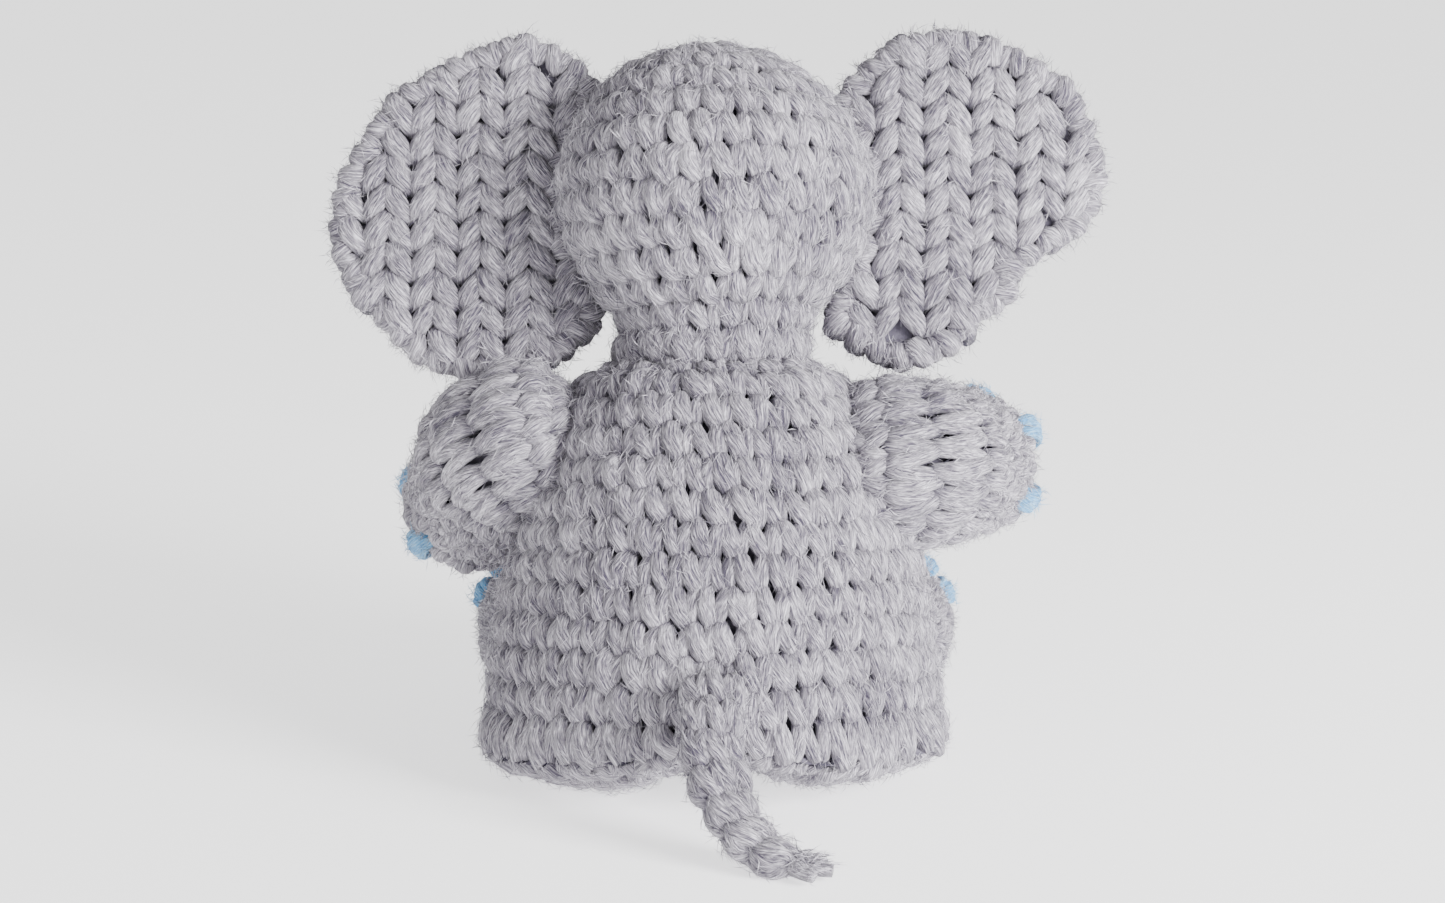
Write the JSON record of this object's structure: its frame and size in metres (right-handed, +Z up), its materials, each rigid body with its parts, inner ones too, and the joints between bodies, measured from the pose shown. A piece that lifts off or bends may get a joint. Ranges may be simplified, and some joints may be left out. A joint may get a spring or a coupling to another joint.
{
  "type": "stuffed elephant",
  "caption": "Seated crocheted elephant with stuffed torso, head, trunk and limbs sewn on to flop, flat ears, embroidered toes and a cord tail.",
  "frame": {"origin": "middle of the flat patch under the torso that rests on the surface", "axes": "+Z up; the elephant faces -Y with its tail towards +Y; its left side is +X"},
  "size_m": [0.1457, 0.1546, 0.137],
  "materials": {
    "grey_yarn": "soft crocheted acrylic yarn, matte with a faint sheen",
    "blue_yarn": "soft acrylic yarn, matte",
    "filling": "loose polyester fibre fill",
    "eye_plastic": "polished",
    "washer_plastic": "moulded"
  },
  "bodies": {
    "torso": {"torso_cover": "grey_yarn", "torso_stuffing": "filling"},
    "head": {"head_cover": "grey_yarn", "head_stuffing": "filling", "eye_left": "eye_plastic", "eye_right": "eye_plastic", "eye_washer_left": "washer_plastic", "eye_washer_right": "washer_plastic"},
    "ear_left": {"ear_left": "grey_yarn"},
    "ear_right": {"ear_right": "grey_yarn"},
    "trunk": {"trunk_cover": "grey_yarn", "trunk_stuffing": "filling"},
    "arm_left": {"arm_cover_left": "grey_yarn", "arm_stuffing_left": "filling", "toes_arm_left": "blue_yarn"},
    "arm_right": {"arm_cover_right": "grey_yarn", "arm_stuffing_right": "filling", "toes_arm_right": "blue_yarn"},
    "leg_left": {"leg_cover_left": "grey_yarn", "leg_stuffing_left": "filling", "toes_leg_left": "blue_yarn"},
    "leg_right": {"leg_cover_right": "grey_yarn", "leg_stuffing_right": "filling", "toes_leg_right": "blue_yarn"},
    "tail": {"tail_cord": "grey_yarn", "tail_tuft": "grey_yarn"}
  },
  "joints": [
    {"name": "head_nod", "type": "hinge", "parent": "torso", "child": "head", "pos_m": [0, 0.00912, 0.07807], "axis": [1, 0, 0], "range_deg": [-12, 14], "stiffness_Nm_per_rad": 1.2},
    {"name": "ear_flap_left", "type": "hinge", "parent": "head", "child": "ear_left", "pos_m": [0.03, -0.00251, 0.10601], "axis": [0, -0.2588, 0.9659], "range_deg": [-22, 22], "stiffness_Nm_per_rad": 0.06},
    {"name": "ear_flap_right", "type": "hinge", "parent": "head", "child": "ear_right", "pos_m": [-0.03, -0.00251, 0.10601], "axis": [0, 0.2588, -0.9659], "range_deg": [-22, 22], "stiffness_Nm_per_rad": 0.06},
    {"name": "trunk_swing", "type": "hinge", "parent": "head", "child": "trunk", "pos_m": [0, -0.02926, 0.09008], "axis": [1, 0, 0], "range_deg": [-25, 12], "stiffness_Nm_per_rad": 0.08},
    {"name": "arm_swing_left", "type": "hinge", "parent": "torso", "child": "arm_left", "pos_m": [0.04068, 0.01322, 0.05696], "axis": [0, 0.1908, -0.9816], "range_deg": [-28, 4], "stiffness_Nm_per_rad": 0.2},
    {"name": "arm_swing_right", "type": "hinge", "parent": "torso", "child": "arm_right", "pos_m": [-0.04068, 0.01322, 0.05696], "axis": [0, -0.1908, 0.9816], "range_deg": [-28, 4], "stiffness_Nm_per_rad": 0.2},
    {"name": "leg_lift_left", "type": "hinge", "parent": "torso", "child": "leg_left", "pos_m": [0.03259, -0.01311, 0.0155], "axis": [-0.9848, -0.1736, 0], "range_deg": [-10, 20], "stiffness_Nm_per_rad": 0.2},
    {"name": "leg_lift_right", "type": "hinge", "parent": "torso", "child": "leg_right", "pos_m": [-0.03259, -0.01311, 0.0155], "axis": [-0.9848, 0.1736, 0], "range_deg": [-10, 20], "stiffness_Nm_per_rad": 0.2},
    {"name": "tail_lift", "type": "hinge", "parent": "torso", "child": "tail", "pos_m": [0, 0.06471, 0.02673], "axis": [1, 0, 0], "range_deg": [0, 55], "stiffness_Nm_per_rad": 0.004}
  ]
}
